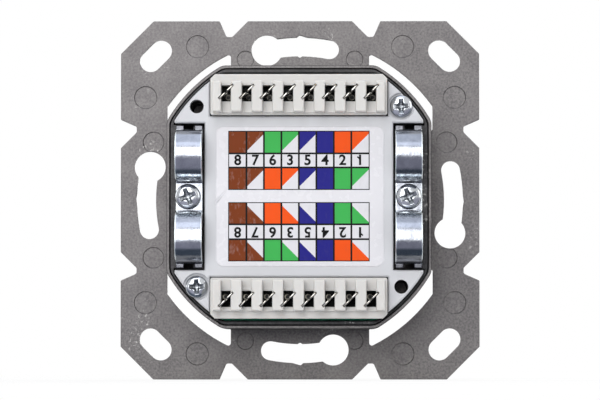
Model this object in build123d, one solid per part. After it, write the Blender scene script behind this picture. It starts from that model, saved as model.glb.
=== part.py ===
from build123d import *
from math import cos, radians, sin, tan
import os

# Twin network wall socket, with the mounting plate upright on a wall.
# Sizes are in millimetres. +Z is up, the room is towards -Y and the wall box
# towards +Y. The origin is the centre of the mounting plate's back face.
# Outlines are drawn as seen from the back, u to the right and v up, and
# heights h are measured from the plate's back face into the wall box.
# Left and right in a name are as seen from the back too.

os.makedirs("parts", exist_ok=True)

# Mounting plate: two or four wall box screws stand on one circle
box_screw_radius = 30.05
plate_margin = 5.05
plate_thickness = 1.6
plate_corner_cut = 6.4
notch_depth = 3.1
notch_floor_start = 13.3
notch_floor_width = 1.1
notch_steep_run = 1.35
notch_round = 0.5

# Screw slots of the plate, and kinks in their edges as (along, outwards)
keyhole_radius = 3.02
keyhole_angle = 12.45
keyhole_slot_width = 3.7
keyhole_slot_end = 11.1
kink_outer = [(-0.9, -0.3), (-0.15, 0.45), (2.4, -0.3)]
kink_inner = [(-1.0, -0.3), (0, 0.3), (1.0, -0.3)]
kink_side = [(-3.0, -0.25), (-0.3, 0.16), (6.4, -0.72)]
corner_slot_margin = 6.85
corner_slot_width = 4.2
corner_slot_length = 7.1

# Crescent windows beside the housing
crescent_margin = 1.75
crescent_top_start = 13.54
crescent_side_start = 13.5
crescent_side_room = 0.5
crescent_round = 0.5

# Ejector marks on the plate's back, as (u, v, radius)
ejector_marks = [(20.1, 30.1, 2.25), (30.25, 20.1, 2.25), (10.7, 27.6, 1.7), (28.7, 11.3, 2.1)]
ejector_depth = 0.1

# Housing cast on the plate
housing_half_height = 25.3
housing_corner_radius = 29.3
housing_blend = 3.0
wall_thickness = 0.6
lower_wall_thickness = 1.4
rim_height = 15.5
post_side_room = 2.5
post_end_room = 3.2
post_radius = 1.95
screw_thread_radius = 1.25
thread_clearance = 0.02

# Front box of the casting, with its slanted face
jack_tilt = 30.0
front_box_wall = 1.2
front_round = 0.8
centre_boss_radius = 2.7
centre_boss_reach = 9.4
centre_thread_radius = 1.25
centre_thread_depth = 8.0
centre_web = 1.4
window_side_room = 0.95
window_low_room = 0.85
window_latch_room = 0.9
window_round = 0.5

# Clamp carrier inside the housing
carrier_gap = 0.15
carrier_wall = 0.65
carrier_corner_wall = 0.35
carrier_below_rim = 0.2
carrier_depth = 3.9
shelf_setback = 0.05
shelf_thickness = 1.5
shelf_half_length = 13.75
shelf_notch_width = 2.0
shelf_notch_length = 0.9
carrier_boss_radius = 2.4
carrier_boss_length = 6.3
lug_radius = 3.0
lug_thickness = 1.0

# Circuit board
board_thickness = 1.6
board_gap = 0.2
board_waist_step = 0.08
board_hole_radius = 1.4

# Rear cover
cover_above_rim = 1.5
cover_skin = 1.4
cover_wall = 0.9
cover_gap = 0.22
cover_clamp_gap = 0.62
cover_shelf_gap = 0.35
cover_hole_radius = 1.34
cover_recess_radius = 2.6
cover_recess_depth = 0.9
cover_edge_round = 0.25

# Wiring label
label_width = 32.4
label_height = 27.0
label_shift = 0.2
label_thickness = 0.12
label_corner = 1.5

# Terminal blocks
slot_count = 8
slot_pitch = 3.96
block_end = 1.09
block_depth = 7.8
block_edge_room = 0.5
block_outer_cut = 1.7
block_inner_round = 0.4
block_gap = 0.17
block_above_cover = 1.6
comb_end_step = 0.48
comb_inner_step = 0.4
comb_outer_step = 1.45
comb_height = 3.8
channel_width = 1.75
channel_step = 0.8
channel_lead = 0.3
pocket_from_inner = 4.05
pocket_length = 3.1
blade_from_inner = 4.2
blade_angle = 45.0
blade_width = 3.8
blade_thickness = 0.4
blade_clearance = 0.06
blade_end_room = 0.32
blade_below_comb = 0.7
blade_slit_width = 0.3
blade_slit_depth = 4.6
blade_mouth = 0.42

# Cable clamps
clamp_width = 5.2
clamp_wall_gap = 0.15
clamp_thickness = 0.8
clamp_flat_half = 2.75
clamp_arch_radius = 5.0
clamp_arch_rise = 1.6
clamp_crown_flat = 0.02
clamp_bend = 0.6
clamp_screw_clearance = 0.25
clamp_screw_head_radius = 2.46
clamp_screw_head_height = 1.5
clamp_screw_length = 8.0
clamp_screw_turn = 22.0

# Cover screws
cover_screw_head_radius = 2.16
cover_screw_head_height = 1.3
cover_screw_length = 9.0
screw_crown = 0.45
screw_crown_run = 1.0
screw_point = 0.5
recess_arm = 0.62
recess_reach = 0.58
recess_depth = 0.8

# Jacks, in their slanted line of insertion
jack_spacing = 21.0
jack_boss_room = 0.85
jack_half_width = 7.2
jack_half_height = 7.35
jack_rear_below = 1.25
jack_rear_above = 2.25
jack_shift = -2.6
jack_side_gap = 0.15
jack_end_gap = 0.1
jack_face_gap = 0.1
shield_thickness = 0.3
shield_gap = 0.05
port_width = 11.7
port_height = 6.7
port_depth = 12.6
latch_width = 6.3
latch_height = 1.4
latch_neck_width = 3.3
latch_neck_height = 2.65
latch_depth = 6.0
shield_port_margin = 0.15
contact_pitch = 1.02
contact_count = 8
contact_width = 0.46
contact_thickness = 0.3
contact_groove = 0.07
contact_tip = (11.3, -0.6)
contact_bow = (5.0, -3.2)
contact_heel = (4.8, -3.75)
contact_tail = (14.6, -4.7)

# Housing width, worked out from the jacks and clamps between its walls
lead_in = 1.0
shield_reach = shield_gap + shield_thickness
jack_reach = jack_spacing / 2 + jack_half_width + shield_reach
clamp_centre = jack_reach + jack_boss_room + carrier_boss_radius
clamp_inner = clamp_centre - clamp_width / 2
carrier_half_width = clamp_centre + clamp_width / 2 + clamp_wall_gap
carrier_inset = wall_thickness + carrier_gap
housing_half_width = carrier_half_width + carrier_wall + carrier_inset

# Plate and carrier, worked out
plate_size = 2 * (box_screw_radius + plate_margin)
half_plate = plate_size / 2
corner_slot_offset = half_plate - corner_slot_margin
crescent_radius = box_screw_radius + crescent_margin
crescent_side_limit = housing_half_width + crescent_side_room
carrier_half_height = housing_half_height - carrier_inset - carrier_wall
carrier_corner_radius = housing_corner_radius - carrier_inset - carrier_corner_wall

# Levels above the plate, worked out
carrier_height = rim_height - carrier_below_rim
carrier_seat_height = carrier_height - carrier_depth
shelf_top = carrier_height
shelf_bottom = shelf_top - shelf_thickness
board_seat = carrier_seat_height + lug_thickness
board_top = board_seat + board_thickness
cover_top = rim_height + cover_above_rim
block_base_top = cover_top + block_above_cover
channel_floor = block_base_top + channel_step
comb_top = block_base_top + comb_height
blade_top = comb_top - blade_below_comb

# Shelves, blocks and cover, worked out
shelf_inner = clamp_inner + shelf_setback
cover_half_waist = clamp_inner - cover_clamp_gap
board_waist = cover_half_waist - board_waist_step
cover_waist_half_height = shelf_half_length + cover_shelf_gap
cover_corner_radius = carrier_corner_radius - cover_gap
block_half_width = slot_count * slot_pitch / 2 + block_end
block_outer = carrier_half_height - block_edge_room
block_inner = block_outer - block_depth
comb_half_width = block_half_width - comb_end_step
comb_inner = block_inner + comb_inner_step
comb_outer = block_outer - comb_outer_step
pocket_centre = block_inner + pocket_from_inner
blade_centre = block_inner + blade_from_inner
post_u = block_half_width + block_gap + post_side_room
post_v = cover_waist_half_height + post_end_room

# Front box and jacks, worked out
front_box_half_width = jack_reach + jack_side_gap + front_box_wall
front_box_half_height = jack_half_height + shield_reach + jack_end_gap + front_box_wall
window_half_width = port_width / 2 + window_side_room
window_low = -port_height / 2 - window_low_room
window_high = port_height / 2 + latch_neck_height + window_latch_room
jack_rear_low = -jack_half_height - jack_rear_below
jack_rear_high = jack_half_height + jack_rear_above
jack_face_depth = front_box_wall + jack_face_gap + shield_reach
jack_centres = [jack_spacing / 2, -jack_spacing / 2]
tilt_slope = tan(radians(jack_tilt))
face_middle = -plate_thickness - front_box_half_height * tilt_slope
back_view = Plane(origin=(0, 0, 0), x_dir=(-1, 0, 0), z_dir=(0, 1, 0))


def prism(outline, low, high):
    """Stand an outline drawn in the back view between two heights."""
    return extrude(back_view.offset(low) * outline, high - low)


def side_slab(profile, centre, half_width):
    """Give a profile drawn in Y and Z a width along X."""
    return extrude(Plane.YZ.offset(centre - half_width) * profile, 2 * half_width)


def in_corners(u, v):
    """Places at the four mirror images of a point about the centre lines."""
    return [Pos(u, v), Pos(-u, v), Pos(-u, -v), Pos(u, -v)]


def housing_shape(half_width, half_height, radius, blend=housing_blend):
    """A square cut to a circle at its corners, with soft junctions."""
    square = Rectangle(2 * half_width, 2 * half_height)
    rounded = square & Circle(radius)
    return fillet(rounded.vertices(), blend)


def housing_inset(inset):
    return housing_shape(housing_half_width - inset, housing_half_height - inset,
                         housing_corner_radius - inset)


# Plate outline and openings

def edge_notch():
    """The V notch in the plate's upper edge, right of its middle."""
    floor = half_plate - notch_depth
    floor_end = notch_floor_start + notch_floor_width
    steep = notch_steep_run / notch_depth
    reach = notch_depth + lead_in
    points = [
        (notch_floor_start - reach, floor + reach),
        (notch_floor_start, floor),
        (floor_end, floor),
        (floor_end + steep * reach, floor + reach),
    ]
    notch = make_face(Polyline(*points, close=True))
    bottom = notch.vertices().sort_by(Axis.Y)[:2]
    return fillet(bottom, notch_round)


def plate_outline():
    square = Rectangle(plate_size, plate_size)
    outline = chamfer(square.vertices(), plate_corner_cut)
    notch = edge_notch()
    for quarter in range(4):
        turn = Rot(0, 0, 90 * quarter)
        outline -= turn * notch
        outline -= turn * mirror(notch, Plane.YZ)
    return outline


def keyhole(outer_kink, inner_kink=()):
    """The upper keyhole: a round entry and a slot along the screw circle."""
    sweep = keyhole_slot_end + keyhole_angle
    middle = CenterArc((0, 0), box_screw_radius, 90 - keyhole_slot_end, sweep)
    turn = radians(keyhole_angle)
    entry = Pos(-box_screw_radius * sin(turn), box_screw_radius * cos(turn))
    opening = SlotArc(middle, keyhole_slot_width) + entry * Circle(keyhole_radius)
    top = box_screw_radius + keyhole_slot_width / 2
    low = box_screw_radius - keyhole_slot_width / 2
    opening += make_face(Polyline(*[(along, top + out) for along, out in outer_kink], close=True))
    if inner_kink:
        opening += make_face(Polyline(*[(along, low - out) for along, out in inner_kink], close=True))
    return opening


def crescent():
    """The window in the quarter right of and above the centre."""
    low = (crescent_top_start + crescent_side_limit) / 2
    width = crescent_side_limit - crescent_top_start
    block = Pos(low, crescent_side_start + crescent_radius / 2) * Rectangle(width, crescent_radius)
    window = block & Circle(crescent_radius)
    far = window.vertices().sort_by(lambda corner: corner.X ** 2 + corner.Y ** 2)[1:]
    return fillet(far, crescent_round)


def plate_openings():
    upper = keyhole(kink_outer, kink_inner)
    left = mirror(keyhole(kink_side), Plane(origin=(0, 0, 0), z_dir=(1, 1, 0)))
    openings = [upper, left, Rot(0, 0, 180) * upper, Rot(0, 0, 180) * left]
    window = crescent()
    openings += [window, mirror(window, Plane.YZ), mirror(window, Plane.XZ), Rot(0, 0, 180) * window]
    for number, place in enumerate(in_corners(corner_slot_offset, corner_slot_offset)):
        tangent = 45 if number % 2 else -45
        openings.append(place * SlotOverall(corner_slot_length, corner_slot_width, rotation=tangent))
    return openings


# Slanted front

def slope_y(z, inset):
    """Y of the slanted face at a height z, moved into the box by an inset."""
    return face_middle - z * tilt_slope + inset / cos(radians(jack_tilt))


def front_profile(inset, back):
    """Side view of the front box, drawn in Y and Z."""
    top = front_box_half_height - inset
    points = [(slope_y(top, inset), top), (slope_y(-top, inset), -top), (back, -top), (back, top)]
    return make_face(Polyline(*points, close=True))


def slope_plane(x):
    """Plane of the slanted face at a port's centre: x across, y up, z outwards."""
    up = (0, -sin(radians(jack_tilt)), cos(radians(jack_tilt)))
    out = (0, -cos(radians(jack_tilt)), -sin(radians(jack_tilt)))
    origin = (x, face_middle + jack_shift * up[1], jack_shift * up[2])
    return Plane(origin=origin, x_dir=(1, 0, 0), z_dir=out)


def in_port(depth, height):
    """A point of a port's side view, by depth and height, in Y and Z."""
    tilt = radians(jack_tilt)
    y = face_middle - jack_shift * sin(tilt) + depth * cos(tilt) - height * sin(tilt)
    z = jack_shift * cos(tilt) + depth * sin(tilt) + height * cos(tilt)
    return (y, z)


def support_frame():
    """Plate, housing wall, posts and slanted front box, cast in one."""
    outline = plate_outline()
    for opening in plate_openings():
        outline -= opening
    frame = prism(outline, -plate_thickness, 0)
    for u, v, radius in ejector_marks:
        frame -= [prism(place * Circle(radius), -ejector_depth, 0) for place in in_corners(u, v)]

    housing = prism(housing_inset(0), -plate_thickness, rim_height)
    housing -= prism(housing_inset(lower_wall_thickness), 0, rim_height)
    housing -= prism(housing_inset(wall_thickness), carrier_seat_height, rim_height)
    frame += housing
    thread = Circle(screw_thread_radius + thread_clearance)
    for place in in_corners(post_u, post_v):
        post = (place * Circle(post_radius)) & housing_inset(0)
        frame += prism(post, -lead_in, carrier_seat_height)
        frame -= prism(place * thread, lead_in, carrier_seat_height)

    box = side_slab(front_profile(0, 0), 0, front_box_half_width)
    nose = box.edges().filter_by(Axis.X).filter_by(lambda edge: edge.center().Y < -plate_thickness - 1)
    flanks = box.edges().filter_by(lambda edge: abs(edge.center().Y - face_middle) < 0.1)
    box = fillet(nose + flanks, front_round)
    frame += box
    hollow = side_slab(front_profile(front_box_wall, lead_in), 0, front_box_half_width - front_box_wall)
    hollow -= side_slab(front_profile(0, 2 * lead_in), 0, centre_web / 2)
    boss = prism(Circle(centre_boss_radius), -centre_boss_reach, 0)
    frame -= hollow
    frame += boss
    for x in jack_centres:
        middle = (window_low + window_high) / 2
        opening = Rectangle(2 * window_half_width, window_high - window_low)
        opening = Pos(0, middle) * fillet(opening.vertices(), window_round)
        frame -= extrude(slope_plane(x) * opening, -(front_box_wall + lead_in))
    frame -= prism(Circle(centre_thread_radius), -centre_boss_reach, -centre_boss_reach + centre_thread_depth)
    return frame


# Clamp carrier

def clamp_carrier():
    """Inner frame with a shelf for each cable clamp and a lug on each post."""
    inside = housing_shape(carrier_half_width, carrier_half_height, carrier_corner_radius)
    outside = housing_inset(carrier_inset)
    carrier = prism(outside - inside, carrier_seat_height, carrier_height)
    for place in in_corners(post_u, post_v):
        carrier += prism((place * Circle(lug_radius)) & outside, carrier_seat_height, board_seat)
        carrier -= prism(place * Circle(board_hole_radius), carrier_seat_height, board_seat)
    for side in (-1, 1):
        shelf_width = carrier_half_width + carrier_wall / 2 - shelf_inner
        shelf = Pos(side * (shelf_inner + shelf_width / 2), 0) * Rectangle(shelf_width, 2 * shelf_half_length)
        for end in (-1, 1):
            notch_v = end * (shelf_half_length - shelf_notch_length / 2)
            shelf -= Pos(side * clamp_centre, notch_v) * Rectangle(shelf_notch_width, shelf_notch_length)
        carrier += prism(shelf, shelf_bottom, shelf_top)
        centre = Pos(side * clamp_centre, 0)
        boss_end = shelf_bottom - carrier_boss_length
        carrier += prism(centre * Circle(carrier_boss_radius), boss_end, shelf_bottom)
        carrier -= prism(centre * Circle(screw_thread_radius + thread_clearance), boss_end, shelf_top)
    return carrier


# Circuit board

def circuit_board():
    """Board on the four lugs, waisted between the clamp shelves."""
    outline = housing_shape(carrier_half_width - board_gap, carrier_half_height - board_gap,
                            carrier_corner_radius - board_gap)
    for side in (-1, 1):
        centre = side * (board_waist + housing_half_width / 2)
        outline -= Pos(centre, 0) * Rectangle(housing_half_width, 2 * (shelf_half_length + board_gap))
    for place in in_corners(post_u, post_v):
        outline -= place * Circle(board_hole_radius)
    return prism(outline, board_seat, board_top)


# Rear cover

def cover_outline(inset):
    """Cover in the back view, waisted for the clamps and notched for the blocks."""
    half_width = carrier_half_width - cover_gap - inset
    outline = Rectangle(2 * half_width, 2 * half_width) & Circle(cover_corner_radius - inset)
    waist_reach = housing_half_width
    for side in (-1, 1):
        waist_u = side * (cover_half_waist - inset + waist_reach / 2)
        waist = Rectangle(waist_reach, 2 * (cover_waist_half_height + inset))
        outline -= Pos(waist_u, 0) * waist
        seat = Rectangle(2 * (block_half_width + block_gap + inset), housing_half_height)
        seat_v = side * (block_inner - block_gap - inset + housing_half_height / 2)
        outline -= Pos(0, seat_v) * seat
    return outline


def rear_cover():
    """Moulded cover over the board, with two screw recesses and two plain holes."""
    cover = prism(cover_outline(0), board_top, cover_top)
    rims = cover.edges().filter_by(lambda edge: abs(edge.center().Y - cover_top) < 1e-4)
    cover = chamfer(rims, cover_edge_round)
    cover -= prism(cover_outline(cover_wall), board_top, cover_top - cover_skin)
    for place in in_corners(post_u, post_v):
        bush = (place * Circle(post_radius)) & cover_outline(cover_wall / 2)
        cover += prism(bush, board_top, cover_top - cover_skin)
        cover -= prism(place * Circle(cover_hole_radius), board_top, cover_top)
    for side in (-1, 1):
        recess = Pos(side * post_u, side * post_v) * Circle(cover_recess_radius)
        cover -= prism(recess, cover_top - cover_recess_depth, cover_top)
    return cover


def wiring_label():
    sheet = Rectangle(label_width, label_height)
    sheet = Pos(label_shift, 0) * fillet(sheet.vertices(), label_corner)
    return prism(sheet, cover_top, cover_top + label_thickness)


# Terminal blocks

def slot_places():
    """Places of the wire slots along the block."""
    first = -(slot_count - 1) / 2
    return [(first + number) * slot_pitch for number in range(slot_count)]


def slot_cut(u):
    """Wire channel with its lead-in, pocket and slanted blade seat of one slot."""
    half = channel_width / 2
    lip = comb_top - channel_lead
    channel = make_face(Polyline(
        (u - half, channel_floor),
        (u + half, channel_floor),
        (u + half, lip),
        (u + half + channel_lead, comb_top),
        (u - half - channel_lead, comb_top),
        (u - half, lip),
        close=True))
    across = Plane(origin=(0, 0, 0), x_dir=(-1, 0, 0), z_dir=(0, 0, 1))
    pocket = Pos(u, pocket_centre) * Rectangle(channel_width, pocket_length)
    slit = Rectangle(blade_width + 2 * blade_clearance, blade_thickness + 2 * blade_clearance)
    for end in (-1, 1):
        slit += Pos(end * blade_width / 2, 0) * Rectangle(2 * blade_end_room, 2 * blade_end_room)
    seat = Pos(u, blade_centre) * Rot(0, 0, blade_angle) * slit
    return [
        extrude(across * mirror(channel, Plane.XZ), block_outer),
        prism(pocket, board_top, channel_floor),
        prism(seat, board_top, comb_top),
    ]


def terminal_block(side):
    """Moulded comb with eight wire channels and a slanted seat for each blade."""
    middle = (block_inner + block_outer) / 2
    base = Rectangle(2 * block_half_width, block_outer - block_inner)
    corners = base.vertices().sort_by(Axis.Y)
    base = chamfer(corners[2:], block_outer_cut)
    base = fillet(base.vertices().sort_by(Axis.Y)[:2], block_inner_round)
    block = prism(Pos(0, middle) * base, board_top, block_base_top)
    comb_middle = (comb_inner + comb_outer) / 2
    comb = Pos(0, comb_middle) * Rectangle(2 * comb_half_width, comb_outer - comb_inner)
    block += prism(comb, block_base_top, comb_top)
    for u in slot_places():
        block -= slot_cut(u)
    if side < 0:
        block = Rot(0, 180, 0) * block
    return block


def idc_contact(u, side):
    """Forked blade that cuts through a wire's jacket, on the board's back."""
    height = blade_top - board_top
    blade = Pos(0, height / 2) * Rectangle(blade_width, height)
    slit = Pos(0, height - blade_slit_depth / 2) * Rectangle(blade_slit_width, blade_slit_depth)
    mouth = Polyline((-blade_mouth, height), (0, height - 2 * blade_mouth), (blade_mouth, height), close=True)
    profile = blade - slit - make_face(mouth)
    v = side * blade_centre
    along = (-cos(radians(blade_angle)), 0, sin(radians(blade_angle)))
    across = Vector(along).cross(Vector(0, 1, 0))
    stand = Plane(origin=(-u, board_top, v), x_dir=along, z_dir=across)
    return extrude(stand * profile, blade_thickness / 2, both=True)


# Cable clamps

def cable_clamp(side):
    """Strap with two arches for the cables and notched feet, bent from sheet."""
    half = clamp_thickness / 2
    low = shelf_top + half
    radius = clamp_arch_radius - half
    start = clamp_flat_half + half
    end = start + 2 * clamp_arch_radius - clamp_thickness
    crown = low + clamp_arch_rise + radius
    foot = shelf_half_length
    right_points = [(start, low), (start, crown), (end, crown), (end, low), (foot, low)]
    left_points = [(-x, y) for x, y in reversed(right_points)]
    arch_bend = radius - clamp_crown_flat
    bends = [clamp_bend, arch_bend, arch_bend, clamp_bend]
    strip = trace(FilletPolyline(*left_points, *right_points, radius=bends + bends), clamp_thickness)
    centre = side * clamp_centre
    view = Plane(origin=(-(centre - clamp_width / 2), 0, 0), x_dir=(0, 0, 1), z_dir=(-1, 0, 0))
    strap = extrude(view * strip, clamp_width)
    over = shelf_top + clamp_thickness
    for end_side in (-1, 1):
        notch_v = end_side * (foot - shelf_notch_length / 2)
        notch = Pos(centre, notch_v) * Rectangle(shelf_notch_width, shelf_notch_length)
        strap -= prism(notch, shelf_top, over)
    strap -= prism(Pos(centre, 0) * Circle(screw_thread_radius + clamp_screw_clearance), shelf_top, over)
    return strap


# Screws

def pan_screw(u, v, seat, head_radius, head_height, length, turn):
    """Pan-head screw with a cross recess, its head's underside on a seat."""
    profile = make_face(Polyline(
        (0, head_height),
        (0, -length),
        (screw_thread_radius - screw_point, -length),
        (screw_thread_radius, screw_point - length),
        (screw_thread_radius, 0),
        (head_radius, 0),
        (head_radius, head_height - screw_crown),
        (head_radius - screw_crown_run, head_height),
        close=True))
    place = Plane(origin=(-u, seat, v), x_dir=(-1, 0, 0), z_dir=(0, 1, 0))
    body = revolve(Plane.XZ * profile, Axis.Z)
    arm = Rectangle(2 * recess_reach * head_radius, recess_arm)
    cross = arm + Rot(0, 0, 90) * arm
    body -= extrude(Plane.XY.offset(head_height - recess_depth) * (Rot(0, 0, turn) * cross), 2 * recess_depth)
    return place * body


# Jacks

def jack_profile(grow, back):
    """Side view of a jack, grown all round, drawn in Y and Z."""
    top = jack_half_height + grow
    shoulder = shield_reach - grow
    inset = jack_face_depth - grow
    points = [
        (slope_y(top, inset), top),
        (slope_y(-top, inset), -top),
        (shoulder, -top),
        (shoulder, jack_rear_low - grow),
        (back, jack_rear_low - grow),
        (back, jack_rear_high + grow),
        (shoulder, jack_rear_high + grow),
        (shoulder, top),
    ]
    return make_face(Polyline(*points, close=True))


def port_outline(margin):
    """Plug opening with its stepped latch notch, across and up."""
    port = Rectangle(port_width + 2 * margin, port_height + 2 * margin)
    top = port_height / 2
    port += Pos(0, top) * Rectangle(latch_width + 2 * margin, 2 * (latch_height + margin))
    port += Pos(0, top) * Rectangle(latch_neck_width + 2 * margin, 2 * (latch_neck_height + margin))
    return port


def contact_strip(thickness):
    """Side view of a bent contact: tip, slope, heel and tail down to the board."""
    bends = [in_port(*point) for point in (contact_tip, contact_bow, contact_heel, contact_tail)]
    end = (board_seat, bends[-1][1])
    return trace(Polyline(*bends, end), thickness)


def contact_places(x):
    first = -(contact_count - 1) / 2
    return [x - (first + number) * contact_pitch for number in range(contact_count)]


def jack_contact(x):
    strip = contact_strip(contact_thickness)
    return side_slab(strip, x, contact_width / 2)


def jack_body(x):
    """Insulating body with the plug cavity and a groove for each contact."""
    body = side_slab(jack_profile(0, board_seat), x, jack_half_width)
    face = slope_plane(x)
    main = Rectangle(port_width, port_height)
    body -= extrude(face * main, -(jack_face_depth + port_depth))
    body -= extrude(face * port_outline(0), -(jack_face_depth + latch_depth))
    groove = contact_strip(contact_thickness + 2 * contact_groove)
    for place in contact_places(x):
        body -= side_slab(groove, place, contact_width / 2 + contact_groove)
    return body


def jack_shield(x):
    """Folded metal sleeve round a jack, with the port cut in its face."""
    outer = side_slab(jack_profile(shield_reach, board_seat), x, jack_half_width + shield_reach)
    inner = side_slab(jack_profile(shield_gap, board_seat + lead_in), x, jack_half_width + shield_gap)
    shield = outer - inner
    port = slope_plane(x) * port_outline(shield_port_margin)
    return shield - extrude(port, -(jack_face_depth + 2 * shield_thickness))


parts = {
    "support_frame": support_frame(),
    "clamp_carrier": clamp_carrier(),
    "circuit_board": circuit_board(),
    "rear_cover": rear_cover(),
    "wiring_label": wiring_label(),
}
for name, side in (("upper", 1), ("lower", -1)):
    parts["terminal_block_" + name] = terminal_block(side)
    for number, u in enumerate(slot_places(), 1):
        parts["idc_contact_" + name + "_" + str(number)] = idc_contact(u, side)
for name, side in (("left", -1), ("right", 1)):
    parts["cable_clamp_" + name] = cable_clamp(side)
    parts["clamp_screw_" + name] = pan_screw(
        side * clamp_centre, 0, shelf_top + clamp_thickness, clamp_screw_head_radius,
        clamp_screw_head_height, clamp_screw_length, clamp_screw_turn)
    x = -side * jack_spacing / 2
    parts["jack_shield_" + name] = jack_shield(x)
    parts["jack_body_" + name] = jack_body(x)
    for number, place in enumerate(contact_places(x), 1):
        parts["jack_contact_" + name + "_" + str(number)] = jack_contact(place)
for name, side in (("upper", 1), ("lower", -1)):
    parts["cover_screw_" + name] = pan_screw(
        side * post_u, side * post_v, cover_top - cover_recess_depth, cover_screw_head_radius,
        cover_screw_head_height, cover_screw_length, 0)

for name, solid in parts.items():
    export_step(solid, "parts/" + name + ".step")
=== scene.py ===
import bpy
import math
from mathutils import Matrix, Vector


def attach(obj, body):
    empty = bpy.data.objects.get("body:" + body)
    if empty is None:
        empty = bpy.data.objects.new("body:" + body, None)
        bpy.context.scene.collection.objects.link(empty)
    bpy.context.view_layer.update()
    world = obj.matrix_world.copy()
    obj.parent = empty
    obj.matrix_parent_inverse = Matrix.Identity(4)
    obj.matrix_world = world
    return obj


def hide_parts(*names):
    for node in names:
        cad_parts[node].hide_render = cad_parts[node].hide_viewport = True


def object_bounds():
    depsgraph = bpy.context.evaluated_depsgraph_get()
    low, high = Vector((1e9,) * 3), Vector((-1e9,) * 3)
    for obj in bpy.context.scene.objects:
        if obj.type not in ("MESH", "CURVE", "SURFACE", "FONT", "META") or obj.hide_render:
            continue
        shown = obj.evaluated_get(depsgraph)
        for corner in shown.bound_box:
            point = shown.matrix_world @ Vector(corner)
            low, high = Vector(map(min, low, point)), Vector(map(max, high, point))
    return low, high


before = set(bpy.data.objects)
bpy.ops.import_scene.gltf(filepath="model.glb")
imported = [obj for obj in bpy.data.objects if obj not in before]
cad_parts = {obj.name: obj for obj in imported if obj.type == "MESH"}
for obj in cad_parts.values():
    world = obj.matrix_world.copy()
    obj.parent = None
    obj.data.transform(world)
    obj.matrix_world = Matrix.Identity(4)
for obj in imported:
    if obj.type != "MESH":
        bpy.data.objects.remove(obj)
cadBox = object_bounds()
print("frame loaded:", len(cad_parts), "nodes")

# The socket stands upright with its back towards +Y. Places are given as seen from the back,
# in millimetres: u to the right, v up and h above the mounting plate.
mm = 0.001
backTurn = (math.pi / 2, 0, math.pi)  # turns a flat thing to face the back, the right way up
backTurnOver = (-math.pi / 2, 0, 0)  # the same, upside down
weldReach = 0.0005  # corners nearer than this are one


def place(u, v, h):
    return Vector((-u, h, v)) * mm


def linear(hexColour):  # sRGB hex to the linear colour that shaders use
    parts = [int(hexColour[i:i + 2], 16) / 255 for i in (1, 3, 5)]
    return [c / 12.92 if c <= 0.04045 else ((c + 0.055) / 1.055) ** 2.4 for c in parts] + [1]


# Mesh helpers

def deselectAll():
    bpy.ops.object.select_all(action="DESELECT")


def makeActive(piece):
    deselectAll()
    piece.select_set(True)
    bpy.context.view_layer.objects.active = piece


def settle(piece, name):  # the object goes to the origin and its place into the mesh
    makeActive(piece)
    bpy.ops.object.transform_apply(location=True, rotation=True, scale=True)
    piece.name = name
    piece.data.name = name
    return piece


def pick(piece, test, kind="FACE"):  # in edit mode, selects what passes a test on its middle and normal
    makeActive(piece)
    bpy.ops.object.mode_set(mode="EDIT")
    bpy.ops.mesh.select_mode(type=kind)
    bpy.ops.mesh.select_all(action="DESELECT")
    bpy.ops.object.mode_set(mode="OBJECT")
    mesh = piece.data
    if kind == "FACE":
        for face in mesh.polygons:
            face.select = test(face.center, face.normal)
    elif kind == "EDGE":
        for edge in mesh.edges:
            ends = [mesh.vertices[i].co for i in edge.vertices]
            edge.select = test((ends[0] + ends[1]) / 2, ends[1] - ends[0])
    else:
        for corner in mesh.vertices:
            corner.select = test(corner.co, corner.normal)
    bpy.ops.object.mode_set(mode="EDIT")


def backToObject():
    bpy.ops.object.mode_set(mode="OBJECT")


def applyModifier(piece, kind, **settings):
    makeActive(piece)
    modifier = piece.modifiers.new(kind.title(), kind)
    for key, value in settings.items():
        setattr(modifier, key, value)
    bpy.ops.object.modifier_apply(modifier=modifier.name)


def roundEdges(piece, width, segments=2, angle=40):
    applyModifier(piece, "BEVEL", width=width * mm, segments=segments, limit_method="ANGLE",
                  angle_limit=math.radians(angle), use_clamp_overlap=False, harden_normals=False)
    makeActive(piece)
    bpy.ops.object.shade_smooth_by_angle(angle=math.radians(50))


def combine(piece, other, operation):
    applyModifier(piece, "BOOLEAN", operation=operation, solver="EXACT", object=other)
    bpy.data.objects.remove(other)
    return piece


def subtract(piece, cutter):
    return combine(piece, cutter, "DIFFERENCE")


def joinPieces(pieces, name):
    makeActive(pieces[0])
    for piece in pieces:
        piece.select_set(True)
    bpy.ops.object.join()
    return settle(bpy.context.object, name)


def copyOf(piece, name, move=(0, 0, 0), turn=None):
    made = piece.copy()
    made.data = piece.data.copy()
    bpy.context.scene.collection.objects.link(made)
    made.location = Vector(move)
    if turn:
        made.rotation_mode = "XYZ"
        made.rotation_euler = turn
    return settle(made, name)


def cuboid(middle, size, turn=0.0):  # a cube about a middle in (u, v, h), turned in the back view
    bpy.ops.mesh.primitive_cube_add(size=mm, location=place(*middle), rotation=(0, math.radians(turn), 0),
                                    scale=(size[0], size[2], size[1]))
    return settle(bpy.context.object, "cuboid")


def weldAll(piece, reach=weldReach):  # in edit mode with all selected, makes corners that touch one
    pick(piece, lambda middle, normal: True)
    bpy.ops.mesh.remove_doubles(threshold=reach * mm)


def finishNormals(piece):
    weldAll(piece)
    bpy.ops.mesh.normals_make_consistent(inside=False)
    backToObject()


def fromAxis(face):  # how far a face's middle lies from the axis that runs to the back
    return Vector((face.center.x, 0, face.center.z)).length


def dress(piece, material, slotName, *nodes):  # material, slot name (not used), body and the CAD nodes it stands for
    if material:
        piece.data.materials.clear()
        piece.data.materials.append(material)
    if nodes:
        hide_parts(*nodes)
    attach(piece, "root")
    return piece


# Materials

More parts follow.
